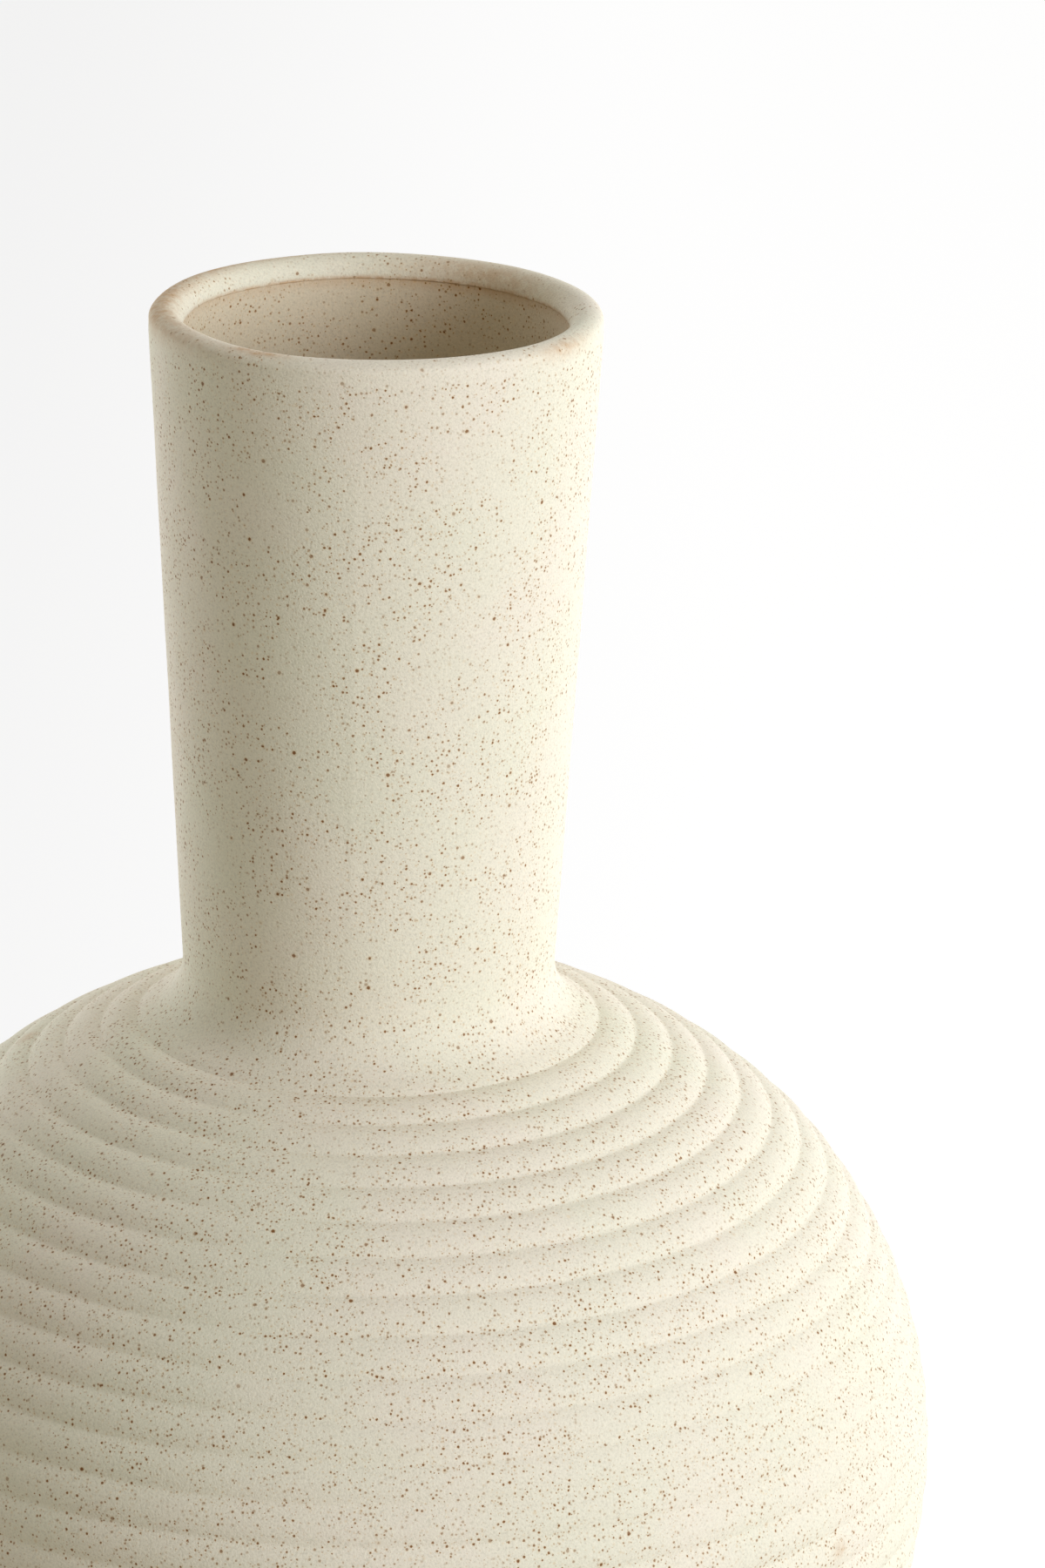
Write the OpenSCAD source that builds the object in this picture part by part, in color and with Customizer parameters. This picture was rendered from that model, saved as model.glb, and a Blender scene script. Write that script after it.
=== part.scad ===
// Stoneware bottle vase: a ribbed globe body under a tall neck with a rounded lip.
// It is put together the way a potter builds a pot too tall to throw in one go: a foot
// ring, a lower bowl, a shoulder dome, a neck and a lip ring are formed one by one and
// luted to each other with slip. Each joint is rebated, and comes out in a crease of the
// ribs or under the lip. A liner glaze coats the inside.
// Millimetres, +Z up, origin on the resting plane under the middle of the foot.

/* [Overall] */
// Height from the resting plane to the top of the lip
vase_h = 385; // [375:1:400]
// Diameter over the ribs at the widest circle
body_d = 262; // [256:1:270]

/* [Body outline] */
// Height of the widest circle above the resting plane
equator_h = 115.5; // [112:0.5:120]
// Radius of the belly arc, above the widest circle
belly_r = 106; // [100:1:112]
// Turn of the belly arc before the flatter shoulder arc takes over, in degrees
belly_turn = 60; // [56:1:62]
// Radius of the shoulder arc
shoulder_r = 170; // [150:5:190]
// Radius of the arc from the widest circle down to the foot
lower_r = 125; // [122:1:130]

/* [Ribs] */
// Ribs on the belly arc
belly_ribs = 12; // [10:1:14]
// Ribs on the shoulder arc, outside the neck
shoulder_ribs = 3; // [2:1:4]
// Ribs on the lower arc
lower_ribs = 14; // [12:1:16]
// Depth of the creases between ribs
rib_depth = 1.1; // [0.7:0.1:1.6]

/* [Neck and lip] */
// Diameter over the lip
lip_d = 99; // [96:1:104]
// Narrowest outer diameter of the neck
neck_d = 84.6; // [82:0.2:88]
// Radius of the hollow fillet at the foot of the neck
fillet_r = 14; // [12:0.5:16]
// Height of the lip ring above its joint
lip_h = 5.2; // [4.8:0.1:6]
// Width of the lip ring, from its outer to its inner edge
lip_w = 7.5; // [7.4:0.1:8.4]
// Radius of the lip's outer edge
lip_outer_r = 3; // [2.4:0.1:3.3]
// Radius of the lip's inner edge
lip_inner_r = 4.1; // [3:0.1:4.3]

/* [Walls] */
// Thickness of the body wall
wall = 7.5; // [6.5:0.1:8.5]
// Thickness of the neck wall
neck_wall = 6.5; // [6.3:0.1:6.9]
// Thickness of the floor
floor_t = 10; // [8:0.5:12]
// Thickness of the liner glaze
glaze_t = 0.6; // [0.4:0.1:0.8]

/* [Foot] */
// Outer diameter of the foot ring
foot_d = 134; // [128:1:136]
// Width of the foot ring
foot_w = 11; // [10:0.5:13]
// Height of the foot ring
foot_h = 8; // [7:0.5:9]
// Rounding of the foot's two bottom edges
foot_edge_r = 2; // [1:0.25:3]

/* [Luted joints] */
// Thickness of the slip in each joint
slip_t = 0.4; // [0.3:0.1:0.6]
// Width of the tongue that keys each ring joint
tongue_w = 2.8; // [2.4:0.1:3.2]
// Height of the tongue
tongue_h = 1.6; // [1.2:0.1:1.8]
// Depth of the neck's spigot in the shoulder dome
spigot_h = 7; // [6:0.5:8]
// Thickness of the neck's spigot
spigot_t = 6.1; // [5:0.1:6.4]

/* [Hidden] */
$fn = 180;

// Colours of the fired pieces
clay_color = [0.84, 0.81, 0.72];
bare_clay_color = [0.72, 0.60, 0.46];
slip_color = [0.66, 0.52, 0.38];
liner_color = [0.74, 0.68, 0.57];

// Spare length that carries a cutting shape past what it cuts
past = 1;
// How far the solid core stays inside the creases
core_inset = 1;
// Rounding where the bore of the neck opens into the body
bore_round = 3;

body_r = body_d / 2;
lip_r = lip_d / 2;
neck_r = neck_d / 2;
foot_r = foot_d / 2;

// Centres of the three outline arcs, as [radius, height]
belly_c = [body_r - belly_r, equator_h];
shoulder_c = belly_c - (shoulder_r - belly_r) * polar(belly_turn);
lower_c = [body_r - lower_r, equator_h];

// Angle that one rib takes up on each arc, and the ribs' common pitch
belly_step = belly_turn / belly_ribs;
rib_pitch = belly_r * belly_step * PI / 180;
shoulder_step = belly_step * belly_r / shoulder_r;
lower_step = asin((equator_h - foot_h) / lower_r) / lower_ribs;

// Radius of a rib's round face, from its chord and its depth
rib_r = (pow(rib_pitch / 2, 2) + pow(rib_depth, 2)) / (2 * rib_depth);

// Last crease before the neck, where the neck is luted on
seat_turn = belly_turn + shoulder_ribs * shoulder_step;
seat = shoulder_c + (shoulder_r - rib_depth) * polar(seat_turn);
seat_r = seat[0];
seat_z = seat[1];

// Rib that the neck's skirt ends in, and the fillet that runs into it
skirt_c = shoulder_c + (shoulder_r - rib_r) * polar(seat_turn + shoulder_step / 2);
fillet_x = neck_r + fillet_r;
fillet_z = skirt_c[1] + sqrt(pow(fillet_r + rib_r, 2) - pow(fillet_x - skirt_c[0], 2));

// Heights of the joints and of the hollow's ends
lip_z = vase_h - lip_h;
floor_z = foot_h + floor_t;
ceiling_z = seat_z - spigot_h;

// Inner wall of the neck at its top and at its foot
bore_top_r = lip_r - neck_wall;
bore_foot_r = neck_r - neck_wall;
spigot_r = bore_foot_r + spigot_t;

// Middle of the tongue in each ring joint
foot_tongue_r = foot_r - foot_w / 2;
belly_tongue_r = body_r - (wall + rib_depth) / 2;
lip_tongue_r = lip_r - neck_wall / 2;

// Unit vector at an angle above the horizontal
function polar(a) = [cos(a), sin(a)];

// Point of an outline arc, from its centre, its radius and an angle above the horizontal
function on_arc(c, r, a) = c + r * polar(a);

// Round faces of the ribs: one circle for each, tangent to the outline from inside
module rib_row(c, r, first, step, count) {
    for (i = [0 : count - 1]) {
        translate(on_arc(c, r - rib_r, first + (i + 0.5) * step)) circle(r = rib_r);
    }
}

// Solid core that fills the wall behind the ribs of the upper half
module upper_core() {
    inset = rib_depth + core_inset;
    belly = [for (i = [0 : belly_ribs]) on_arc(belly_c, belly_r - inset, i * belly_step)];
    crown = [for (i = [1 : shoulder_ribs + 1])
        on_arc(shoulder_c, shoulder_r - inset, belly_turn + i * shoulder_step)];
    polygon(concat([[0, equator_h]], belly, crown, [[0, seat_z]]));
}

// The same for the lower half, from the foot up
module lower_core() {
    inset = rib_depth + core_inset;
    arc = [for (i = [lower_ribs : -1 : 0]) on_arc(lower_c, lower_r - inset, -i * lower_step)];
    polygon(concat([[0, foot_h]], arc, [[0, equator_h]]));
}

// A slab of the half-plane between two heights and two radii
module slab(r0, r1, z0, z1) {
    translate([r0, z0]) square([r1 - r0, z1 - z0]);
}

// Key of a ring joint. With grow 0 it is the tongue, and with grow slip_t the groove.
module key(r, z, grow) {
    half = tongue_w / 2 + grow;
    slab(r - half, r + half, z - slip_t, z - slip_t / 2 + tongue_h + grow);
}

// Slip in a ring joint: a flat band, and a thin coat all round the tongue
module key_slip(r, z, inner, outer) {
    difference() {
        union() {
            slab(inner, outer, z - slip_t / 2, z + slip_t / 2);
            intersection() {
                key(r, z, slip_t);
                slab(inner, outer, z - slip_t / 2, z + tongue_h + past);
            }
        }
        key(r, z, 0);
    }
}

// Section of the air inside the vase, shrunk by the thickness of a coat
module air(coat) {
    // Body, up to the foot of the neck
    intersection() {
        union() {
            intersection() {
                translate(belly_c) circle(r = belly_r - wall - coat);
                slab(0, body_r, equator_h, vase_h);
            }
            intersection() {
                translate(shoulder_c) circle(r = shoulder_r - wall - coat);
                slab(0, on_arc(belly_c, belly_r - wall - coat, belly_turn)[0], equator_h, vase_h);
            }
            intersection() {
                translate(lower_c) circle(r = lower_r - wall - coat);
                slab(0, body_r, 0, equator_h);
            }
        }
        slab(0, body_r, floor_z + coat, ceiling_z - coat);
    }
    // Neck, up past the lip
    polygon([[0, ceiling_z - 2 * coat - past], [bore_foot_r - coat, ceiling_z - 2 * coat - past],
             [bore_foot_r - coat, fillet_z], [bore_top_r - coat, lip_z],
             [bore_top_r - coat, vase_h + past], [0, vase_h + past]]);
    // Rounding where the bore opens into the body
    difference() {
        slab(bore_foot_r - coat - past, bore_foot_r + bore_round,
             ceiling_z - coat - past, ceiling_z + bore_round);
        translate([bore_foot_r + bore_round, ceiling_z + bore_round]) circle(r = bore_round + coat);
    }
}

// Turned foot ring that the vase stands on, left bare of glaze
module foot_ring() {
    color(bare_clay_color) rotate_extrude() {
        slab(foot_r - foot_w, foot_r, foot_edge_r, foot_h - slip_t / 2);
        slab(foot_r - foot_w + foot_edge_r, foot_r - foot_edge_r, 0, foot_h - slip_t / 2);
        for (r = [foot_r - foot_w + foot_edge_r, foot_r - foot_edge_r]) {
            translate([r, foot_edge_r]) circle(r = foot_edge_r);
        }
        key(foot_tongue_r, foot_h, 0);
    }
}

// Slip that lutes the foot ring to the bowl
module foot_slip() {
    color(slip_color) rotate_extrude() {
        key_slip(foot_tongue_r, foot_h, foot_r - foot_w, foot_r);
    }
}

// Lower half of the body, with the floor
module lower_bowl() {
    rim_z = equator_h - slip_t / 2;
    color(clay_color) rotate_extrude() difference() {
        union() {
            lower_core();
            rib_row(lower_c, lower_r, 0, -lower_step, lower_ribs);
            key(belly_tongue_r, equator_h, 0);
        }
        air(0);
        // Clay above the joint, on both sides of the tongue and over it
        slab(0, belly_tongue_r - tongue_w / 2, rim_z, vase_h);
        slab(belly_tongue_r + tongue_w / 2, body_r + past, rim_z, vase_h);
        slab(0, body_r + past, rim_z + tongue_h, vase_h);
        // Clay below the joint with the foot ring
        slab(0, body_r + past, -past, foot_h + slip_t / 2);
        key(foot_tongue_r, foot_h, slip_t);
    }
}

// Slip in the joint round the widest circle
module belly_slip() {
    color(slip_color) rotate_extrude() {
        key_slip(belly_tongue_r, equator_h, body_r - wall, body_r - rib_depth);
    }
}

// Upper half of the body, up to the crease round the neck
module shoulder_dome() {
    color(clay_color) rotate_extrude() difference() {
        union() {
            upper_core();
            rib_row(belly_c, belly_r, 0, belly_step, belly_ribs);
            rib_row(shoulder_c, shoulder_r, belly_turn, shoulder_step, shoulder_ribs);
        }
        air(0);
        slab(0, body_r + past, 0, equator_h + slip_t / 2);
        key(belly_tongue_r, equator_h, slip_t);
        slab(0, seat_r, seat_z - slip_t / 2, vase_h);
        slab(0, spigot_r + slip_t, ceiling_z - past, vase_h);
    }
}

// Slip under the neck's skirt and round its spigot
module neck_slip() {
    color(slip_color) rotate_extrude() {
        slab(spigot_r, seat_r, seat_z - slip_t / 2, seat_z + slip_t / 2);
        slab(spigot_r, spigot_r + slip_t, ceiling_z, seat_z);
    }
}

// Tall neck, widening upwards, with the skirt that covers its joint
module neck_tube() {
    color(clay_color) rotate_extrude() difference() {
        union() {
            // Wall, with the spigot that drops into the dome
            polygon([[0, ceiling_z], [spigot_r, ceiling_z], [spigot_r, fillet_z], [neck_r, fillet_z],
                     [lip_r, lip_z - slip_t / 2], [0, lip_z - slip_t / 2]]);
            key(lip_tongue_r, lip_z, 0);
            // Skirt, which ends in a rib
            translate(skirt_c) circle(r = rib_r);
            polygon([[0, skirt_c[1]], skirt_c, [fillet_x, fillet_z], [0, fillet_z]]);
        }
        air(0);
        // Hollow fillet between the neck and the rib
        intersection() {
            translate([fillet_x, fillet_z]) circle(r = fillet_r);
            slab(0, fillet_x + fillet_r, 0, fillet_z);
        }
        // Clay below the joint and outside it
        slab(spigot_r, body_r, 0, seat_z + slip_t / 2);
        slab(seat_r, body_r, 0, fillet_z);
    }
}

// Slip between the neck and the lip ring
module lip_slip() {
    color(slip_color) rotate_extrude() {
        key_slip(lip_tongue_r, lip_z, bore_top_r, lip_r);
    }
}

// Rounded lip, whose inner edge stands proud of the neck's bore as a small ledge
module lip_ring() {
    inner = lip_r - lip_w;
    color(clay_color) rotate_extrude() difference() {
        union() {
            translate([inner + lip_inner_r, vase_h - lip_inner_r]) circle(r = lip_inner_r);
            translate([lip_r - lip_outer_r, vase_h - lip_outer_r]) circle(r = lip_outer_r);
            slab(inner + lip_inner_r, lip_r - lip_outer_r, lip_z, vase_h);
            slab(inner, inner + lip_inner_r, lip_z, vase_h - lip_inner_r);
            slab(lip_r - lip_outer_r, lip_r, lip_z, vase_h - lip_outer_r);
        }
        slab(0, lip_r + past, lip_z - lip_r, lip_z + slip_t / 2);
        key(lip_tongue_r, lip_z, slip_t);
    }
}

// Glaze that makes the inside hold water, from the floor up to the lip's ledge
module liner_glaze() {
    color(liner_color) rotate_extrude() difference() {
        air(0);
        air(glaze_t);
        slab(0, lip_r, lip_z + slip_t / 2, vase_h + 2 * past);
    }
}

foot_ring();
foot_slip();
lower_bowl();
belly_slip();
shoulder_dome();
neck_slip();
neck_tube();
lip_slip();
lip_ring();
liner_glaze();
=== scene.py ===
"""Stoneware bottle vase: a ribbed globe body, a tall neck, a rounded lip and a bare foot ring.

Each clay piece is an outline in the half-plane (radius, height), turned into a closed mesh with the slight
unevenness of handwork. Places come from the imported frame, and the other sizes are named below, in metres.
"""

import math

import bpy
import numpy as np
from mathutils import Matrix, Vector


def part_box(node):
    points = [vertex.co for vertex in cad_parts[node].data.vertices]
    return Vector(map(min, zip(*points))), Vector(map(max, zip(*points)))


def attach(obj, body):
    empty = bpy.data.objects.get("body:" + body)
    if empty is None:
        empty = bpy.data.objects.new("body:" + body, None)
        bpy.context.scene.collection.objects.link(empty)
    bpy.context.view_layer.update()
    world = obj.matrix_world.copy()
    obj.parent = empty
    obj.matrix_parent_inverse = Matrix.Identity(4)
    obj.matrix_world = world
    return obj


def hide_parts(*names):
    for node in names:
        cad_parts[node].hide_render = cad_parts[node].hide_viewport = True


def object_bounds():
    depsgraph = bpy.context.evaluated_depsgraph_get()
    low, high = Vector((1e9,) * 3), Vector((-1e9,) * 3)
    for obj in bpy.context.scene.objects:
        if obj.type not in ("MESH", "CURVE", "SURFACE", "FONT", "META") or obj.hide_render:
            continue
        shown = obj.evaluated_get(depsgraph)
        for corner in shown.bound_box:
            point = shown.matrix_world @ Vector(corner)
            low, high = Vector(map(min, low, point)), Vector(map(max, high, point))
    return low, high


MM = 0.001

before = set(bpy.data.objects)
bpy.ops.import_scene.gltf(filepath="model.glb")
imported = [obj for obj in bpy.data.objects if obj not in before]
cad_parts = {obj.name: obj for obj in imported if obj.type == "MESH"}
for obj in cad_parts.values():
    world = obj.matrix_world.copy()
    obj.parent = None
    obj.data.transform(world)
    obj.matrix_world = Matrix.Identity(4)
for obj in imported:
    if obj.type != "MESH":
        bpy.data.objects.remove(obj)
cad_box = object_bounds()

# ---------------------------------------------------------------- places from the frame
SLIP_T = 0.4 * MM
RIB_DEPTH = 1.1 * MM
VASE_TOP = cad_box[1].z
LIP_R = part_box("lip_ring")[1].x
LIP_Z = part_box("lip_ring")[0].z - SLIP_T / 2
SEAT_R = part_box("neck_slip")[1].x
SEAT_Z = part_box("neck_slip")[1].z - SLIP_T / 2
CEILING_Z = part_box("neck_slip")[0].z
BODY_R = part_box("belly_slip")[1].x + RIB_DEPTH
EQUATOR_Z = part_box("belly_slip")[0].z + SLIP_T / 2
FOOT_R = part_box("foot_ring")[1].x
FOOT_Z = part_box("foot_slip")[0].z + SLIP_T / 2
FLOOR_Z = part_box("liner_glaze")[0].z

# ---------------------------------------------------------------- sizes of the clay
BELLY_ARC_R = 106 * MM
BELLY_TURN = 60
BELLY_RIBS = 12
SHOULDER_ARC_R = 170 * MM
SHOULDER_RIBS = 3
LOWER_ARC_R = 125 * MM
LOWER_RIBS = 14
CREASE_ROUND = 0.55 * MM
CREASE_WIDTH = 1.5 * MM
NECK_R = 42.3 * MM
FILLET_R = 14 * MM
WALL = 7.5 * MM
NECK_WALL = 6.5 * MM
LIP_W = 7.5 * MM
GLAZE_T = 0.6 * MM
FOOT_W = 11 * MM
FOOT_EDGE = 2 * MM
SPIGOT_T = 6.1 * MM
BORE_ROUND = 3 * MM
TONGUE_W = 2.8 * MM
TONGUE_H = 1.6 * MM

SEGMENTS = 448


def polar(degrees):
    """Unit vector at an angle of the half-plane."""
    return np.array([math.cos(math.radians(degrees)), math.sin(math.radians(degrees))])


class Arc:
    """A circle of the outline, with its middle in the half-plane."""

    def __init__(self, middle, radius):
        self.middle = np.array(middle, float)
        self.radius = radius

    def at(self, degrees, depth=0.0):
        """Point at an angle, moved towards the middle by a depth."""
        return self.middle + (self.radius - depth) * polar(degrees)


BELLY = Arc((BODY_R - BELLY_ARC_R, EQUATOR_Z), BELLY_ARC_R)
SHOULDER = Arc(BELLY.middle - (SHOULDER_ARC_R - BELLY_ARC_R) * polar(BELLY_TURN), SHOULDER_ARC_R)
LOWER = Arc((BODY_R - LOWER_ARC_R, EQUATOR_Z), LOWER_ARC_R)

BELLY_STEP = BELLY_TURN / BELLY_RIBS
RIB_PITCH = BELLY_ARC_R * math.radians(BELLY_STEP)
SHOULDER_STEP = BELLY_STEP * BELLY_ARC_R / SHOULDER_ARC_R
LOWER_STEP = math.degrees(math.asin((EQUATOR_Z - FOOT_Z) / LOWER_ARC_R)) / LOWER_RIBS
RIB_ROUND = ((RIB_PITCH / 2) ** 2 + RIB_DEPTH**2) / (2 * RIB_DEPTH)
# Depth that a crease keeps once it is rounded
CREASE_DEPTH = RIB_ROUND - math.sqrt(RIB_ROUND**2 - (RIB_PITCH / 2 - CREASE_ROUND) ** 2)

# Where over a rib, from crease to crease, the outline has its points, and the same for the skirt's rib
RIB_POINTS = (0, 0.03, 0.06, 0.1, 0.17, 0.3, 0.5, 0.7, 0.83, 0.9, 0.94, 0.97)
SKIRT_POINTS = (0.04, 0.1, 0.18, 0.28, 0.5, 0.75)

SEAT_TURN = BELLY_TURN + SHOULDER_RIBS * SHOULDER_STEP
SEAT_CREASE = tuple(SHOULDER.at(SEAT_TURN, CREASE_DEPTH))
SKIRT_MIDDLE = SHOULDER.at(SEAT_TURN + SHOULDER_STEP / 2, RIB_ROUND)
FILLET_X = NECK_R + FILLET_R
FILLET_Z = SKIRT_MIDDLE[1] + math.sqrt((FILLET_R + RIB_ROUND) ** 2 - (FILLET_X - SKIRT_MIDDLE[0]) ** 2)
FILLET = Arc((FILLET_X, FILLET_Z), FILLET_R)

BORE_TOP_R = LIP_R - NECK_WALL
BORE_FOOT_R = NECK_R - NECK_WALL
SPIGOT_R = BORE_FOOT_R + SPIGOT_T
BORE_MOUTH = Arc((BORE_FOOT_R + BORE_ROUND, CEILING_Z + BORE_ROUND), BORE_ROUND)

# Middles of the ring joints' tongues
FOOT_JOINT_R = FOOT_R - FOOT_W / 2
BELLY_JOINT_R = BODY_R - (WALL + RIB_DEPTH) / 2
LIP_JOINT_R = LIP_R - NECK_WALL / 2

LIP_CROWN_R = LIP_R - 3.5 * MM
LIP_INNER_R = LIP_R - LIP_W
LIP_OUTER_DROP = 2.4 * MM
LIP_INNER_DROP = 4.4 * MM
LIP_LEDGE_ROUND = 0.35 * MM


# ---------------------------------------------------------------- outlines
# An outline point is (radius, height, crease). Crease is 1 in a crease, where specks gather, and fades to 0
# beside it. It is -1 on the lip, where specks are few.
def plain(points):
    """Outline points away from any crease."""
    return [(r, z, 0.0) for r, z in points]


def ribs(arc, first, step, count):
    """Round ribs side by side on an arc. The last crease is left out."""
    points = []
    for index in range(count):
        for share in RIB_POINTS:
            points.append(rib_point(arc, first + index * step, step, share))
    return points


def rib_point(arc, start, step, share):
    """Outline point at a share of the way over one rib."""
    half = arc.radius * math.radians(abs(step)) / 2
    to_crease = 2 * half * min(share, 1 - share)
    off_crest = max(0.0, half - math.hypot(to_crease, CREASE_ROUND))
    r, z = arc.at(start + step * share, rib_depth_at(off_crest))
    return (r, z, crease_mark(to_crease))


def rib_depth_at(off_crest):
    """How far a rib's round has dropped at a distance from its crest."""
    return RIB_ROUND - math.sqrt(RIB_ROUND**2 - off_crest**2)


def crease_mark(to_crease):
    """An outline point's crease value at a distance from the crease."""
    return math.exp(-((to_crease / CREASE_WIDTH) ** 2))


def sweep(arc, start, end, count):
    """Points along a plain arc, both ends included."""
    return plain(arc.at(a) for a in np.linspace(start, end, count))


def along(start, end, count):
    """Points along a straight line, with the end left out."""
    start, end = np.array(start, float), np.array(end, float)
    return plain(start + (end - start) * i / count for i in range(count))


def ellipse(middle, radius_r, radius_z, start, end, count):
    """Points along a stretch of an upright ellipse, both ends included."""
    return plain((middle[0] + radius_r * polar(a)[0], middle[1] + radius_z * polar(a)[1])
                 for a in np.linspace(start, end, count))


def tongue(r, z, grow=0.0):
    """The four corners of a ring joint's tongue, from its outer side to its inner side."""
    half = TONGUE_W / 2 + grow
    low = z + (SLIP_T / 2 if grow else -SLIP_T / 2)
    high = z - SLIP_T / 2 + TONGUE_H + grow
    return plain([(r + half, low), (r + half, high), (r - half, high), (r - half, low)])


def ring_joint_slip(r, z, inner, outer):
    """Slip over a tongue: the flat band with the thin coat round the tongue."""
    over = tongue(r, z, SLIP_T)
    under = tongue(r, z)
    low, high = z - SLIP_T / 2, z + SLIP_T / 2
    return plain([(outer, low), (outer, high)]) + over + plain([(inner, high), (inner, low)]) + under[::-1]


def skirt():
    """Neck's outer foot: a rib that rises from the joint's crease, then the hollow fillet up to the neck."""
    touch = math.degrees(math.atan2(FILLET_Z - SKIRT_MIDDLE[1], FILLET_X - SKIRT_MIDDLE[0]))
    crease = math.degrees(math.atan2(SEAT_Z - SKIRT_MIDDLE[1], SEAT_R - SKIRT_MIDDLE[0]))
    rib = Arc(SKIRT_MIDDLE, RIB_ROUND)
    half = RIB_PITCH / 2
    points = [SEAT_CREASE + (1.0,)]
    for share in SKIRT_POINTS:
        angle = crease + (touch - crease) * share
        to_crease = RIB_ROUND * math.radians(angle - crease)
        rounded = max(0.0, half - math.hypot(to_crease, CREASE_ROUND))
        fill = rib_depth_at(half - to_crease) - rib_depth_at(rounded)
        r, z = rib.at(angle) + fill * polar(SEAT_TURN)
        points.append((r, z, crease_mark(to_crease)))
    return points + sweep(FILLET, touch - 180, -180, 20)


def lip_outline():
    """Rounded lip: a tight outer shoulder, a longer inner slope, and the ledge over the bore."""
    low = LIP_Z + SLIP_T / 2
    outer = ellipse((LIP_CROWN_R, VASE_TOP - LIP_OUTER_DROP), LIP_R - LIP_CROWN_R, LIP_OUTER_DROP, 0, 90, 22)
    inner = ellipse((LIP_CROWN_R, VASE_TOP - LIP_INNER_DROP), LIP_CROWN_R - LIP_INNER_R, LIP_INNER_DROP,
                    90, 176, 24)[1:]
    ledge = ellipse((LIP_INNER_R + LIP_LEDGE_ROUND, low + LIP_LEDGE_ROUND), LIP_LEDGE_ROUND, LIP_LEDGE_ROUND,
                    180, 270, 6)
    joint = tongue(LIP_JOINT_R, LIP_Z, SLIP_T)[::-1]
    return [(r, z, -1.0) for r, z, _ in plain([(LIP_R, low)]) + outer + inner + ledge + joint]


def neck_outline():
    """Skirt and neck outside, the lip's joint on top, the bore, and the spigot that sits in the dome."""
    top = LIP_Z - SLIP_T / 2
    joint = tongue(LIP_JOINT_R, LIP_Z)
    outer = along((NECK_R, FILLET_Z), (LIP_R, top), 70)[1:] + plain([(LIP_R, top)])
    bore = along((BORE_TOP_R, top), (BORE_FOOT_R, FILLET_Z), 12) + plain([(BORE_FOOT_R, FILLET_Z)])
    spigot = plain([(SPIGOT_R, CEILING_Z), (SPIGOT_R, SEAT_Z + SLIP_T / 2)])
    return skirt() + outer + joint + bore + sweep(BORE_MOUTH, 180, 270, 6) + spigot


def neck_slip_outline():
    """Slip on the dome's seat, with the coat that goes down round the spigot."""
    low, high = SEAT_Z - SLIP_T / 2, SEAT_Z + SLIP_T / 2
    return plain([(SEAT_R, low), (SEAT_R, high), (SPIGOT_R, high), (SPIGOT_R, CEILING_Z),
                  (SPIGOT_R + SLIP_T, CEILING_Z), (SPIGOT_R + SLIP_T, low)])


def dome_outline():
    """Upper half of the globe: ribs outside, the neck's seat and hole, and the belly joint's groove."""
    outer = ribs(BELLY, 0, BELLY_STEP, BELLY_RIBS) + ribs(SHOULDER, BELLY_TURN, SHOULDER_STEP, SHOULDER_RIBS)
    outer[0] = (outer[0][0], EQUATOR_Z + SLIP_T / 2, 1.0)
    hole = SPIGOT_R + SLIP_T
    low = SEAT_Z - SLIP_T / 2
    top = [SEAT_CREASE + (1.0,)] + plain([(SEAT_R, low), (hole, low), (hole, CEILING_Z)])
    joint = tongue(BELLY_JOINT_R, EQUATOR_Z, SLIP_T)[::-1]
    return outer + top + inner_wall(0.0, CEILING_Z, EQUATOR_Z + SLIP_T / 2) + joint


def inner_wall(coat, high, low):
    """The hollow's outline down from the ceiling to the widest circle."""
    points = []
    arc_r = SHOULDER_ARC_R - WALL - coat
    ceiling_angle = math.degrees(math.asin((high - coat - SHOULDER.middle[1]) / arc_r))
    for angle in np.linspace(ceiling_angle, BELLY_TURN, 5):
        points.append(SHOULDER.at(angle, WALL + coat))
    for angle in np.linspace(BELLY_TURN, 0, 16)[1:-1]:
        points.append(BELLY.at(angle, WALL + coat))
    points.append((BODY_R - WALL - coat, low))
    return plain(points)


def lower_wall(coat, high, low):
    """The hollow's outline down from the widest circle to the floor, and in to the axis."""
    turn = math.degrees(math.asin((EQUATOR_Z - low) / (LOWER_ARC_R - WALL - coat)))
    points = [(BODY_R - WALL - coat, high)]
    for angle in np.linspace(0, -turn, 16)[1:]:
        points.append(LOWER.at(angle, WALL + coat))
    floor_r = points[-1][0]
    for share in (0.8, 0.5, 0.2):
        points.append((floor_r * share, low))
    return plain(points) + plain([(0.0, low)])


def bowl_outline():
    """Lower half of the globe: the foot's groove below, ribs outside, and the belly joint's tongue."""
    rim = EQUATOR_Z - SLIP_T / 2
    low = FOOT_Z + SLIP_T / 2
    outer = ribs(LOWER, -LOWER_RIBS * LOWER_STEP, LOWER_STEP, LOWER_RIBS)
    outer[0] = (outer[0][0], low, 1.0)
    outer.append((BODY_R - CREASE_DEPTH, rim, 1.0))
    groove = tongue(FOOT_JOINT_R, FOOT_Z, SLIP_T)[::-1]
    joint = tongue(BELLY_JOINT_R, EQUATOR_Z)
    return plain([(0.0, low)]) + groove + outer + joint + lower_wall(0.0, rim, FLOOR_Z)


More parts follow.
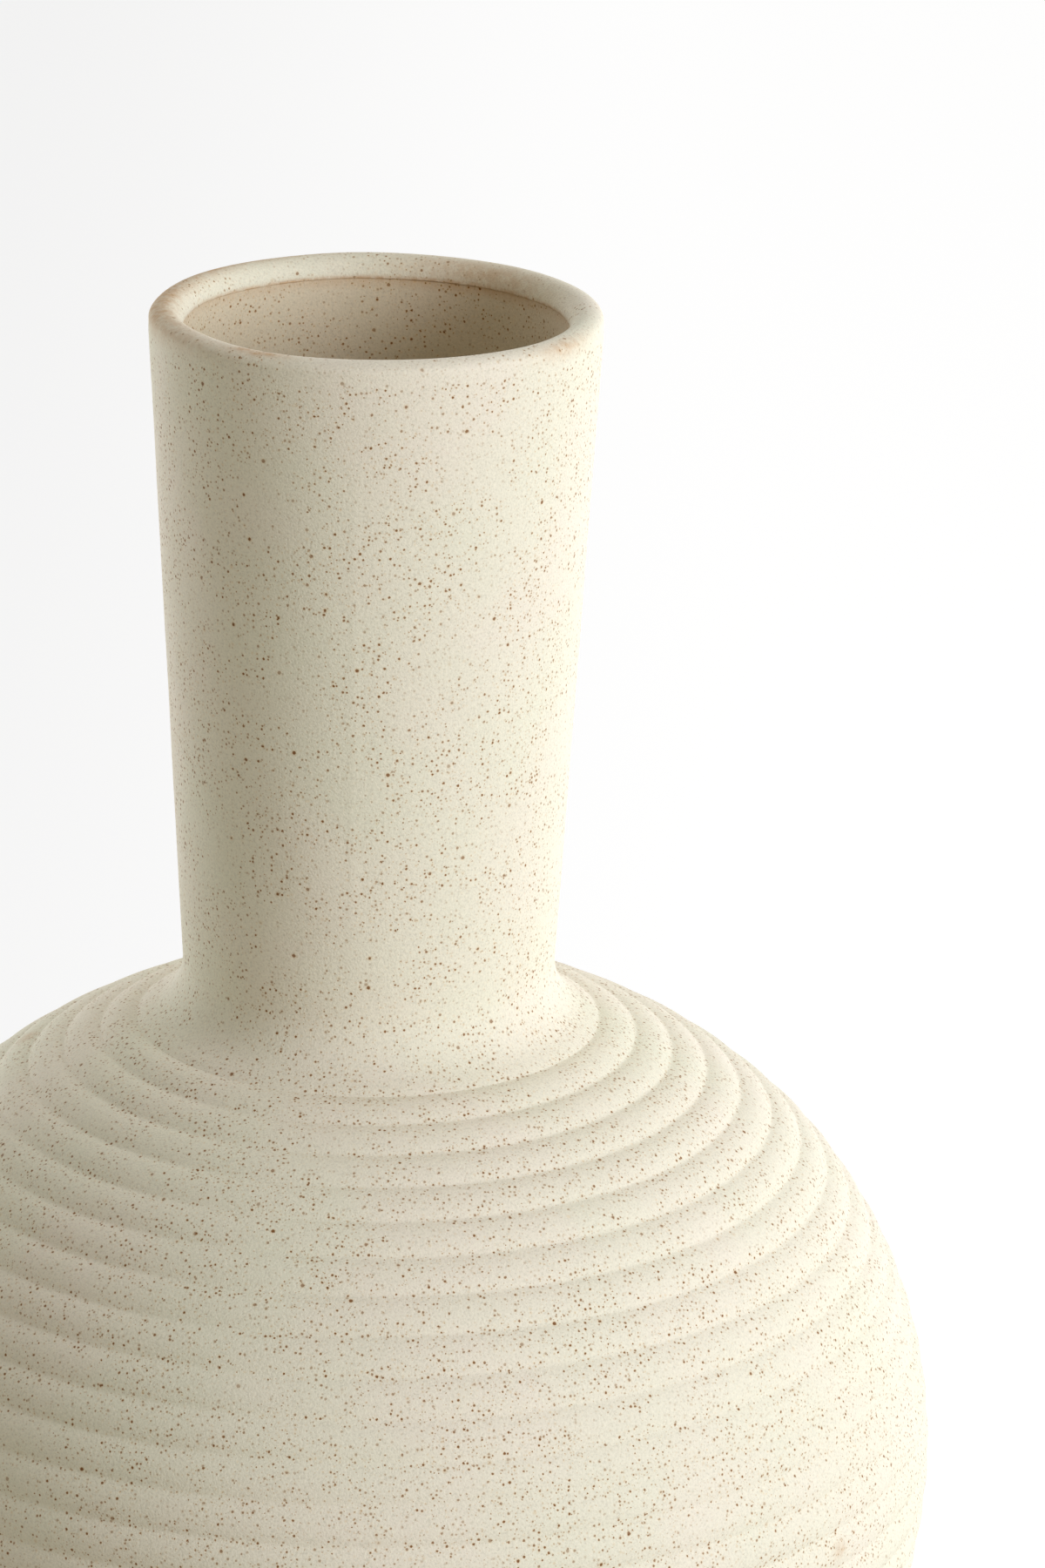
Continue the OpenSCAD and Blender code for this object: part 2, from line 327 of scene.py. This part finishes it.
def foot_outline():
    """The ring that the vase stands on, with both bottom edges rounded."""
    inner = FOOT_R - FOOT_W
    joint = tongue(FOOT_JOINT_R, FOOT_Z)
    high = FOOT_Z - SLIP_T / 2
    outer_edge = Arc((FOOT_R - FOOT_EDGE, FOOT_EDGE), FOOT_EDGE)
    inner_edge = Arc((inner + FOOT_EDGE, FOOT_EDGE), FOOT_EDGE)
    side = plain((FOOT_R, FOOT_EDGE + (high - FOOT_EDGE) * share) for share in (0.25, 0.5, 0.75, 1))
    back = plain((inner, high - (high - FOOT_EDGE) * share) for share in (0, 0.25, 0.5, 0.75))
    return sweep(outer_edge, -90, 0, 9) + side + joint + back + sweep(inner_edge, 180, 270, 9)


def liner_outline():
    """Skin of glaze from the lip's ledge to the floor: up along the clay, and back down its free side."""
    top = LIP_Z + SLIP_T / 2
    clay = [(0.0, FLOOR_Z)] + [(r, z) for r, z, _ in lower_wall(0.0, EQUATOR_Z, FLOOR_Z)[-2::-1]]
    clay += [(r, z) for r, z, _ in inner_wall(0.0, CEILING_Z, EQUATOR_Z)[-2::-1]]
    clay += [tuple(BORE_MOUTH.at(a)) for a in np.linspace(270, 180, 6)]
    clay += [(BORE_FOOT_R, FILLET_Z), (BORE_TOP_R, LIP_Z), (BORE_TOP_R, top)]
    air = [(BORE_TOP_R - GLAZE_T, top)]
    air += [(r, z) for r, z, _ in along((BORE_TOP_R - GLAZE_T, LIP_Z), (BORE_FOOT_R - GLAZE_T, FILLET_Z), 60)]
    air += [(BORE_FOOT_R - GLAZE_T, FILLET_Z)]
    air += [tuple(BORE_MOUTH.at(a, -GLAZE_T)) for a in np.linspace(180, 270, 10)]
    air += [(r, z) for r, z, _ in inner_wall(GLAZE_T, CEILING_Z, EQUATOR_Z)]
    air += [(r, z) for r, z, _ in lower_wall(GLAZE_T, EQUATOR_Z, FLOOR_Z + GLAZE_T)[1:]]
    return plain(clay + air)


# ---------------------------------------------------------------- unevenness of handwork
rng = np.random.default_rng(7)


class Waves:
    """A sum of slow waves round the pot and up it. Its value stays within about plus or minus its height."""

    def __init__(self, height, turns, lengths, count):
        self.terms = []
        for _ in range(count):
            self.terms.append((
                height / math.sqrt(count) * rng.uniform(0.6, 1.4),
                int(rng.integers(turns[0], turns[1] + 1)),
                2 * math.pi / rng.uniform(*lengths),
                rng.uniform(0, 2 * math.pi)))

    def __call__(self, theta, z):
        return sum(h * np.sin(n * theta + k * z + phase) for h, n, k, phase in self.terms)


OUT_OF_ROUND = Waves(0.12 * MM, (2, 3), (0.25, 0.6), 5)
SURFACE_WAVES = Waves(0.035 * MM, (5, 14), (0.03, 0.09), 9)
CREASE_WANDER = Waves(0.12 * MM, (2, 7), (0.02, 0.07), 10)

# The unevenness fades in over this height above the foot, and between these radii
GRIP_HEIGHT = 40 * MM
GRIP_RADII = (5 * MM, 30 * MM)

LEAN = 0.45 * MM
SEAM_TURN = math.radians(-95)
SEAM_WIDTH = 0.9 * MM
SEAM_HEIGHT = 0.05 * MM


def smooth(value, low, high):
    """Smooth step from 0 at low to 1 at high."""
    share = np.clip((value - low) / (high - low), 0, 1)
    return share * share * (3 - 2 * share)


def seam_ridge(theta, z):
    """Height of the faint upright line on the front and back of the neck."""
    height = 0.0
    for turn in (SEAM_TURN, SEAM_TURN + math.pi):
        away = (theta - turn + math.pi) % (2 * math.pi) - math.pi
        height = height + np.exp(-((away * NECK_R / SEAM_WIDTH) ** 2))
    above_skirt = smooth(z, FILLET_Z + 8 * MM, FILLET_Z + 30 * MM)
    below_lip = 1 - smooth(z, LIP_Z - 35 * MM, LIP_Z - 12 * MM)
    return SEAM_HEIGHT * height * (above_skirt * below_lip)


def lean(z):
    """How far the neck has drifted sideways at a height, as hand-set necks do."""
    return LEAN * np.clip((z - FILLET_Z) / (VASE_TOP - FILLET_Z), 0, 1)


def uneven(r, z, theta):
    """Moves points of the turned shape by hand-made fractions of a millimetre. The foot stays flat."""
    grip = smooth(z, 0.0, GRIP_HEIGHT) * smooth(r, *GRIP_RADII)
    out = OUT_OF_ROUND(theta, z) + SURFACE_WAVES(theta, z)
    outside = smooth(r, NECK_R - 3 * MM, NECK_R) * smooth(z, FILLET_Z, FILLET_Z + MM)
    return r + grip * out + outside * seam_ridge(theta, z), z + grip * CREASE_WANDER(theta, z)


# ---------------------------------------------------------------- blush of iron, and painted shade under the lip's ledge
# Each patch has its turn round the pot and its reach in degrees, its radius, height and width, and its
# strength. The last two are small spots on the body, and the others are on the lip and its ledge. The patch
# on the ledge is not blush: it is painted shade, a brown line standing in for the shadow under the ledge.
BLUSHES_AND_LEDGE_SHADE = (
    (172, 36, LIP_R - 2.4 * MM, VASE_TOP - 0.4 * MM, 3.4 * MM, 1.30),
    (122, 36, LIP_R - 1.6 * MM, VASE_TOP - 0.5 * MM, 2.2 * MM, 0.80),
    (212, 22, LIP_R - 0.4 * MM, VASE_TOP - 1.2 * MM, 1.8 * MM, 0.25),
    (237, 9, LIP_CROWN_R + 0.6 * MM, VASE_TOP - 0.1 * MM, 1.4 * MM, 1.20),
    (326, 11, LIP_R - 0.8 * MM, VASE_TOP - 1.2 * MM, 1.8 * MM, 0.80),
    (56, 27, LIP_INNER_R + 1.4 * MM, VASE_TOP - 2.4 * MM, 3.2 * MM, 0.80),
    # Painted shade: a brown line for the shadow under the lip's ledge, not iron blush
    (80, 95, LIP_INNER_R, LIP_Z + 0.35 * MM, 0.6 * MM, 1.30),
    (-35.7, 1.0, 130.9 * MM, 120.4 * MM, 1.8 * MM, 0.70),
    (167.7, 2.2, 80.7 * MM, 205.7 * MM, 2.2 * MM, 0.70),
)


def blush_and_ledge_shade(r, z, theta):
    """How much tan blush the fired clay has, with the painted shade under the lip's ledge, from 0 to 1."""
    total = 0.0
    for turn, reach, at_r, at_z, width, strength in BLUSHES_AND_LEDGE_SHADE:
        round_off = (np.degrees(theta) - turn + 180) % 360 - 180
        away = np.hypot(r - at_r, z - at_z)
        total = total + strength * np.exp(-((round_off / reach) ** 2) - (away / width) ** 2)
    return np.clip(total, 0, 1)


# ---------------------------------------------------------------- turning an outline into a mesh
SHARP_TURN = math.radians(38)


def corner_rings(outline, closed):
    """Indices of outline points where the outline turns a corner."""
    rings = []
    count = len(outline)
    for i in range(count):
        if not closed and i in (0, count - 1):
            continue
        before, here, after = (np.array(outline[j % count][:2]) for j in (i - 1, i, i + 1))
        a, b = here - before, after - here
        turn = abs(math.atan2(a[0] * b[1] - a[1] * b[0], a @ b))
        if turn > SHARP_TURN:
            rings.append(i)
    return rings


def turned(name, outline, material):
    """Closed mesh of an outline turned round the axis. Points on the axis become single vertices."""
    closed = outline[0][0] > 0 and outline[-1][0] > 0
    theta = np.arange(SEGMENTS) * 2 * math.pi / SEGMENTS
    verts, first, creases, blushes_and_ledge_shade = [], [], [], []
    for r, z, mark in outline:
        first.append(len(verts))
        if r == 0:
            verts.append((0.0, 0.0, z))
            creases.append(mark)
            blushes_and_ledge_shade.append(0.0)
            continue
        ring_r, ring_z = uneven(np.full(SEGMENTS, r), np.full(SEGMENTS, z), theta)
        verts += zip(ring_r * np.cos(theta) + lean(z), ring_r * np.sin(theta), ring_z)
        creases += [mark] * SEGMENTS
        # Tan blush, and the painted shade under the lip's ledge, for each point of the ring
        blushes_and_ledge_shade += list(blush_and_ledge_shade(r, z, theta))
    faces = []
    for i in range(len(outline) if closed else len(outline) - 1):
        j = (i + 1) % len(outline)
        for k in range(SEGMENTS):
            n = (k + 1) % SEGMENTS
            if outline[i][0] == 0:
                faces.append((first[i], first[j] + n, first[j] + k))
            elif outline[j][0] == 0:
                faces.append((first[i] + k, first[i] + n, first[j]))
            else:
                faces.append((first[i] + k, first[i] + n, first[j] + n, first[j] + k))
    mesh = bpy.data.meshes.new(name)
    mesh.from_pydata(verts, [], faces)
    mesh.polygons.foreach_set("use_smooth", [True] * len(faces))
    mesh.attributes.new("crease", "FLOAT", "POINT").data.foreach_set("value", creases)
    mesh.attributes.new("blush_and_ledge_shade", "FLOAT", "POINT").data.foreach_set("value", blushes_and_ledge_shade)
    mark_corners(mesh, [first[i] for i in corner_rings(outline, closed)])
    mesh.materials.append(material)
    mesh.update()
    piece = bpy.data.objects.new(name, mesh)
    bpy.context.scene.collection.objects.link(piece)
    return piece


def mark_corners(mesh, ring_starts):
    """Makes the edges of some rings sharp, so that the shading breaks there."""
    ends = np.empty(len(mesh.edges) * 2, int)
    mesh.edges.foreach_get("vertices", ends)
    ends = ends.reshape(-1, 2)
    sharp = np.zeros(len(ends), bool)
    for start in ring_starts:
        sharp |= np.all((ends >= start) & (ends < start + SEGMENTS), axis=1)
    mesh.attributes.new("sharp_edge", "BOOLEAN", "EDGE").data.foreach_set("value", sharp)


# ---------------------------------------------------------------- materials
# Specks: distance between places, radius, share of the places that have one, and seed
SPECKS_BIG = (3.4 * MM, 0.54 * MM, 0.40, 0.013)
SPECKS_MID = (1.1 * MM, 0.37 * MM, 0.90, 0.029)
SPECKS_FINE = (0.85 * MM, 0.26 * MM, 0.90, 0.047)
# The smallest and the faintest speck as shares of the largest and strongest
SPECK_SMALLEST = 0.45
SPECK_FAINTEST = 0.5
# Where a speck's solid middle and its halo end, in radii of the speck
SPECK_SOLID = 0.6
HALO_REACH = 1.7
# How far the specks' edges wander, and the grain of that wander
SPECK_RAGGED = 0.25 * MM
RAGGED_SIZE = 0.5 * MM
# How deep specks sink into the bump, and how much more of them a crease has
SPECK_PIT = 0.25
CREASE_GATHER = 0.16

SPECK_CORE = (0.20, 0.072, 0.008, 1)
SPECK_PALE = (0.42, 0.23, 0.07, 1)
SPECK_HALO = (0.68, 0.45, 0.19, 1)
# Tan of iron blush, also laid on as painted shade under the lip's ledge
BLUSH_AND_LEDGE_SHADE_TAN = (0.56, 0.35, 0.18, 1)

# How strongly each of them covers the clay
CORE_COVER = 0.95
PALE_COVER = 0.75
HALO_COVER = 0.45
BLUSH_AND_LEDGE_SHADE_COVER = 0.85

# Shades of each clay: its base, a greener cloud and a pinker cloud
CREAM = ((0.80, 0.755, 0.61, 1), (0.775, 0.755, 0.60, 1), (0.815, 0.745, 0.62, 1))
# The liner's tan is the cream made darker and warmer: painted shade for the hollow inside, where little light
# reaches
SHADED_LINER_TAN = ((0.67, 0.575, 0.42, 1), (0.655, 0.575, 0.415, 1), (0.68, 0.565, 0.425, 1))
BARE_TAN = ((0.56, 0.42, 0.27, 1), (0.54, 0.41, 0.27, 1), (0.58, 0.41, 0.27, 1))
SLIP_TAN = ((0.70, 0.62, 0.47, 1), (0.68, 0.61, 0.46, 1), (0.71, 0.61, 0.47, 1))

# Grain of each layer of noise, from the broad clouds of colour to single grains of sand
CLOUD_SIZE = 45 * MM
DRIFT_SIZE = 14 * MM
PATCH_SIZE = 9 * MM
MOTTLE_SIZE = 2.2 * MM
GRAIN_SIZE = 0.55 * MM

# Brightness of the palest and darkest grains, and the depth of the sandy bump
GRAIN_PALE = 1.06
GRAIN_DARK = 0.86
GRAIN_DEPTH = 0.16 * MM


class Nodes:
    """The node tree of a material or world, with short calls for the nodes used here."""

    def __init__(self, owner):
        self.owner = owner
        owner.use_nodes = True
        self.tree = owner.node_tree
        self.tree.nodes.clear()

    def add(self, kind, inputs=None, **settings):
        """New node of a kind, with its settings, and with values or links for its inputs."""
        node = self.tree.nodes.new(kind)
        for key, value in settings.items():
            setattr(node, key, value)
        for key, value in (inputs or {}).items():
            self.feed(node.inputs[key], value)
        return node

    def feed(self, socket, value):
        """Gives a socket a link or a plain value."""
        if isinstance(value, bpy.types.NodeSocket):
            self.tree.links.new(value, socket)
        else:
            socket.default_value = value

    def math(self, operation, a, b=0.0, clamp=False):
        node = self.add("ShaderNodeMath", {0: a, 1: b}, operation=operation, use_clamp=clamp)
        return node.outputs[0]

    def ramp(self, value, low, high, start=0.0, end=1.0):
        """Smooth step from low to high, scaled to start and end."""
        node = self.add("ShaderNodeMapRange",
                        {"Value": value, "From Min": low, "From Max": high, "To Min": start, "To Max": end},
                        interpolation_type="SMOOTHSTEP")
        return node.outputs["Result"]

    def mix(self, factor, a, b):
        node = self.add("ShaderNodeMix", {0: factor, 6: a, 7: b}, data_type="RGBA")
        return node.outputs[2]

    def noise(self, point, size, detail=2.0, rough=0.5, seed=0.0):
        """Noise whose grain is about size metres across, from 0 to 1."""
        moved = self.add("ShaderNodeVectorMath", {0: point, 1: (seed, seed * 0.7, -seed)}, operation="ADD")
        node = self.add("ShaderNodeTexNoise",
                        {"Vector": moved.outputs[0], "Scale": 1 / size, "Detail": detail, "Roughness": rough})
        return node.outputs["Fac"]

    def specks(self, point, spacing, radius, keep, seed):
        """Round specks of differing size and strength, scattered in space: returns core and halo masks."""
        shift = (seed, -seed * 0.6, seed * 0.3)
        moved = self.add("ShaderNodeVectorMath", {0: point, 1: shift}, operation="ADD")
        cells = self.add("ShaderNodeTexVoronoi", {"Vector": moved.outputs[0], "Scale": 1 / spacing},
                         feature="F1")
        chance = self.add("ShaderNodeSeparateColor", {"Color": cells.outputs["Color"]})
        share = self.ramp(chance.outputs["Red"], 0.0, 1.0, SPECK_SMALLEST, 1.0)
        size = self.math("MULTIPLY", share, radius / spacing)
        present = self.math("LESS_THAN", chance.outputs["Green"], keep)
        away = self.math("DIVIDE", cells.outputs["Distance"], size)
        fired = self.ramp(chance.outputs["Blue"], 0.0, 1.0, SPECK_FAINTEST, 1.0)
        strength = self.math("MULTIPLY", present, fired)
        core = self.math("MULTIPLY", strength, self.ramp(away, 1.0, SPECK_SOLID))
        halo = self.math("MULTIPLY", strength, self.ramp(away, HALO_REACH, SPECK_SOLID))
        return core, halo

    def cover(self, color, mask, strength, top, clamp=False):
        """Lays another colour over a colour where the mask is above 0."""
        return self.mix(self.math("MULTIPLY", mask, strength, clamp=clamp), color, top)

    def finish(self, shader, output="ShaderNodeOutputMaterial"):
        """Links the last shader to a new output node, and returns the material or world."""
        self.add(output, {"Surface": shader.outputs[0]})
        return self.owner


def speckled(name, shades, sand, roughness):
    """Matte speckled stoneware: cloudy clay, sandy grain, brown iron specks with soft tan halos."""
    base, green, pink = shades
    n = Nodes(bpy.data.materials.new(name))
    point = n.add("ShaderNodeTexCoord").outputs["Object"]
    ragged = n.add("ShaderNodeTexNoise", {"Vector": point, "Scale": 1 / RAGGED_SIZE, "Detail": 1.0})
    bend = n.add("ShaderNodeVectorMath", {0: ragged.outputs["Color"], 1: (0.5, 0.5, 0.5)},
                 operation="SUBTRACT")
    bend = n.add("ShaderNodeVectorMath", {0: bend.outputs[0], 3: SPECK_RAGGED}, operation="SCALE")
    loose = n.add("ShaderNodeVectorMath", {0: point, 1: bend.outputs[0]}, operation="ADD").outputs[0]

    clouds = n.noise(point, CLOUD_SIZE, seed=0.31)
    patches = n.noise(point, PATCH_SIZE, detail=3.0, rough=0.6, seed=0.12)
    grain = n.noise(point, GRAIN_SIZE, rough=0.6, seed=0.05)
    color = n.mix(n.ramp(clouds, 0.35, 0.65), green, pink)
    color = n.mix(n.ramp(patches, 0.3, 0.75, 0.0, 0.6), color, base)
    pale = tuple(c * GRAIN_PALE for c in base[:3]) + (1,)
    dark = tuple(c * GRAIN_DARK for c in base[:3]) + (1,)
    color = n.mix(n.ramp(grain, 0.50, 0.72, 0.0, 1.0), color, pale)
    color = n.mix(n.ramp(grain, 0.48, 0.28, 0.0, 1.0), color, dark)

    # Tan blush of iron, with painted shade under the lip's ledge, from the mesh's attribute
    blushed_and_ledge_shade = n.add("ShaderNodeAttribute", attribute_name="blush_and_ledge_shade").outputs["Fac"]
    mottle = n.noise(point, MOTTLE_SIZE, detail=4.0, rough=0.65, seed=0.21)
    blushed_and_ledge_shade = n.math("MULTIPLY", blushed_and_ledge_shade, n.ramp(mottle, 0.32, 0.62, 0.45, 1.0))
    color = n.cover(color, blushed_and_ledge_shade, BLUSH_AND_LEDGE_SHADE_COVER, BLUSH_AND_LEDGE_SHADE_TAN, clamp=True)

    crease = n.add("ShaderNodeAttribute", attribute_name="crease").outputs["Fac"]
    drift = n.noise(point, DRIFT_SIZE, seed=0.77)
    gather = n.math("ADD", drift, n.math("MULTIPLY", crease, CREASE_GATHER))
    big_core, big_halo = n.specks(loose, *SPECKS_BIG)
    mid_core, mid_halo = n.specks(loose, *SPECKS_MID)
    fine_core, _ = n.specks(loose, *SPECKS_FINE)
    mid_gate = n.ramp(gather, 0.34, 0.52, 0.25, 1.0)
    fine_gate = n.ramp(gather, 0.36, 0.60, 0.2, 0.9)
    halo = n.math("MAXIMUM", big_halo, n.math("MULTIPLY", mid_halo, mid_gate))
    color = n.cover(color, halo, HALO_COVER, SPECK_HALO)
    color = n.cover(color, n.math("MULTIPLY", fine_core, fine_gate), PALE_COVER, SPECK_PALE)
    color = n.cover(color, n.math("MULTIPLY", mid_core, mid_gate), CORE_COVER, SPECK_CORE)
    color = n.cover(color, big_core, CORE_COVER, SPECK_CORE)

    pits = n.math("MULTIPLY", n.math("ADD", big_core, mid_core), -SPECK_PIT)
    relief = n.math("ADD", n.math("MULTIPLY", grain, sand), n.math("MULTIPLY", patches, 0.6))
    relief = n.math("ADD", relief, pits)
    bump = n.add("ShaderNodeBump", {"Height": relief, "Distance": GRAIN_DEPTH, "Strength": 0.7})
    gloss = n.ramp(n.math("ADD", patches, n.math("MULTIPLY", big_core, -0.5)), 0.0, 1.0,
                   roughness - 0.1, roughness + 0.1)
    return n.finish(n.add("ShaderNodeBsdfPrincipled", {
        "Base Color": color, "Roughness": gloss, "Normal": bump.outputs[0], "Specular IOR Level": 0.35}))


stoneware = speckled("stoneware", CREAM, sand=1.0, roughness=0.78)
# The liner's darker, warmer tan is painted shade of the inside
liner = speckled("liner", SHADED_LINER_TAN, sand=0.6, roughness=0.6)
bare_clay = speckled("bare_stoneware", BARE_TAN, sand=1.8, roughness=0.9)
slip = speckled("slip", SLIP_TAN, sand=1.2, roughness=0.85)


# ---------------------------------------------------------------- the pieces
def place(name, outline, material, slot, *nodes):
    """Turns a piece, hangs it under the root, and hides the CAD nodes that it stands for."""
    piece = turned(name, outline, material)
    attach(piece, "root")
    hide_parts(*nodes)
    return piece


place("foot_ring_turned", foot_outline(), bare_clay, "bare_stoneware", "foot_ring")
place("foot_slip_coat", ring_joint_slip(FOOT_JOINT_R, FOOT_Z, FOOT_R - FOOT_W, FOOT_R),
      slip, "slip", "foot_slip")
place("lower_bowl_turned", bowl_outline(), stoneware, "stoneware", "lower_bowl")
place("belly_slip_coat", ring_joint_slip(BELLY_JOINT_R, EQUATOR_Z, BODY_R - WALL, BODY_R - CREASE_DEPTH),
      stoneware, "slip", "belly_slip")
place("shoulder_dome_turned", dome_outline(), stoneware, "stoneware", "shoulder_dome")
place("neck_slip_coat", neck_slip_outline(), stoneware, "slip", "neck_slip")
place("neck_tube_turned", neck_outline(), stoneware, "stoneware", "neck_tube")
place("lip_slip_coat", ring_joint_slip(LIP_JOINT_R, LIP_Z, BORE_TOP_R, LIP_R),
      stoneware, "slip", "lip_slip")
place("lip_ring_turned", lip_outline(), stoneware, "stoneware", "lip_ring")
place("liner_glaze_skin", liner_outline(), liner, "liner", "liner_glaze")


# ---------------------------------------------------------------- floor, backdrop and light
FLOOR_WHITE = (0.98, 0.98, 0.98, 1)
FLOOR_LIT = 0.196
FLOOR_GLOW = 0.885
FLOOR_GLOW_LEFT = 0.785
GLOW_DIM_X = -0.22
GLOW_FULL_X = 0.16


def stage_room(half, height):
    """Plain white floor and far white walls. They glow more than they are lit, and less so on the left."""
    around = [(-half, -half), (half, -half), (half, half), (-half, half)]
    walls = [(i, (i + 1) % 4, 4 + (i + 1) % 4, 4 + i) for i in range(4)]
    mesh = bpy.data.meshes.new("floor")
    mesh.from_pydata([(x, y, z) for z in (0, height) for x, y in around], [], [(0, 1, 2, 3)] + walls)
    n = Nodes(bpy.data.materials.new("floor"))
    across = n.add("ShaderNodeSeparateXYZ", {0: n.add("ShaderNodeTexCoord").outputs["Object"]}).outputs["X"]
    glow = n.ramp(across, GLOW_DIM_X, GLOW_FULL_X, FLOOR_GLOW_LEFT, FLOOR_GLOW)
    shade = n.add("ShaderNodeBsdfDiffuse", {"Color": (FLOOR_LIT, FLOOR_LIT, FLOOR_LIT, 1)})
    light = n.add("ShaderNodeEmission", {"Color": FLOOR_WHITE, "Strength": glow})
    both = n.add("ShaderNodeAddShader", {0: shade.outputs[0], 1: light.outputs[0]})
    mesh.materials.append(n.finish(both))
    room = bpy.data.objects.new("floor", mesh)
    bpy.context.scene.collection.objects.link(room)
    room.visible_diffuse = False
    room.visible_glossy = False
    room.visible_shadow = False


stage_room(half=14.0, height=12.0)


def soft_lamp(name, azimuth, elevation, distance, size, power, color):
    """Square lamp aimed at the middle of the vase. Azimuth 0 is at the camera, and turns to its right."""
    turn, rise = math.radians(azimuth), math.radians(elevation)
    aim = Vector((0, 0, VASE_TOP * 0.55))
    away = Vector((math.sin(turn) * math.cos(rise), -math.cos(turn) * math.cos(rise), math.sin(rise)))
    data = bpy.data.lights.new(name, "AREA")
    data.shape = "SQUARE"
    data.size = size
    data.energy = power
    data.color = color
    lamp = bpy.data.objects.new(name, data)
    lamp.location = aim + distance * away
    lamp.rotation_euler = (aim - lamp.location).to_track_quat("-Z", "Y").to_euler()
    bpy.context.scene.collection.objects.link(lamp)


soft_lamp("key", azimuth=52, elevation=17, distance=2.4, size=1.1, power=48, color=(0.92, 0.95, 1.04))


WORLD_LEVEL = (0.39, 0.364, 0.302, 1)
WORLD_ABOVE = (0.26, 0.24, 0.20, 1)
WORLD_BEHIND = (2.6, 2.65, 2.77, 1)
WORLD_BEHIND_DIM = (0.9, 0.9, 0.9, 1)


def studio_world():
    """Soft warm light from all round, dimmer from above and much brighter from both sides behind the vase."""
    n = Nodes(bpy.data.worlds.new("studio"))
    split = n.add("ShaderNodeSeparateXYZ", {0: n.add("ShaderNodeTexCoord").outputs["Generated"]})
    x, y, z = (split.outputs[axis] for axis in "XYZ")
    around = n.mix(n.ramp(z, 0.1, 0.8), WORLD_LEVEL, WORLD_ABOVE)
    behind = n.mix(n.ramp(n.math("ABSOLUTE", x), 0.15, 0.6), WORLD_BEHIND_DIM, WORLD_BEHIND)
    behind = n.mix(n.ramp(z, 0.25, 0.85), behind, WORLD_BEHIND_DIM)
    color = n.mix(n.ramp(y, 0.0, 0.78), around, behind)
    background = n.add("ShaderNodeBackground", {"Color": color})
    bpy.context.scene.world = n.finish(background, "ShaderNodeOutputWorld")


studio_world()


# ---------------------------------------------------------------- camera
CAMERA_YAW = math.radians(1.27)
CAMERA_PITCH = math.radians(-18.51)
CAMERA_ROLL = math.radians(0.95)
CAMERA_LENS = 166.25
CAMERA_AWAY = 1.550
CAMERA_ABOVE_TOP = 0.408


def set_camera():
    """The view on the vase from the front and above, a little past it to the right."""
    yaw, pitch, roll = CAMERA_YAW, CAMERA_PITCH, CAMERA_ROLL
    forward = Vector((math.sin(yaw) * math.cos(pitch), math.cos(yaw) * math.cos(pitch), math.sin(pitch)))
    level = Vector((math.cos(yaw), -math.sin(yaw), 0))
    upright = level.cross(forward)
    right = level * math.cos(roll) + upright * math.sin(roll)
    up = upright * math.cos(roll) - level * math.sin(roll)
    data = bpy.data.cameras.new("camera")
    data.lens = CAMERA_LENS
    data.sensor_width = 36
    data.clip_end = 200
    camera = bpy.data.objects.new("camera", data)
    turn = Matrix((right, up, -forward)).transposed().to_4x4()
    camera.matrix_world = Matrix.Translation((0, -CAMERA_AWAY, VASE_TOP + CAMERA_ABOVE_TOP)) @ turn
    bpy.context.scene.collection.objects.link(camera)
    bpy.context.scene.camera = camera


set_camera()
bpy.context.scene.view_settings.view_transform = "Standard"
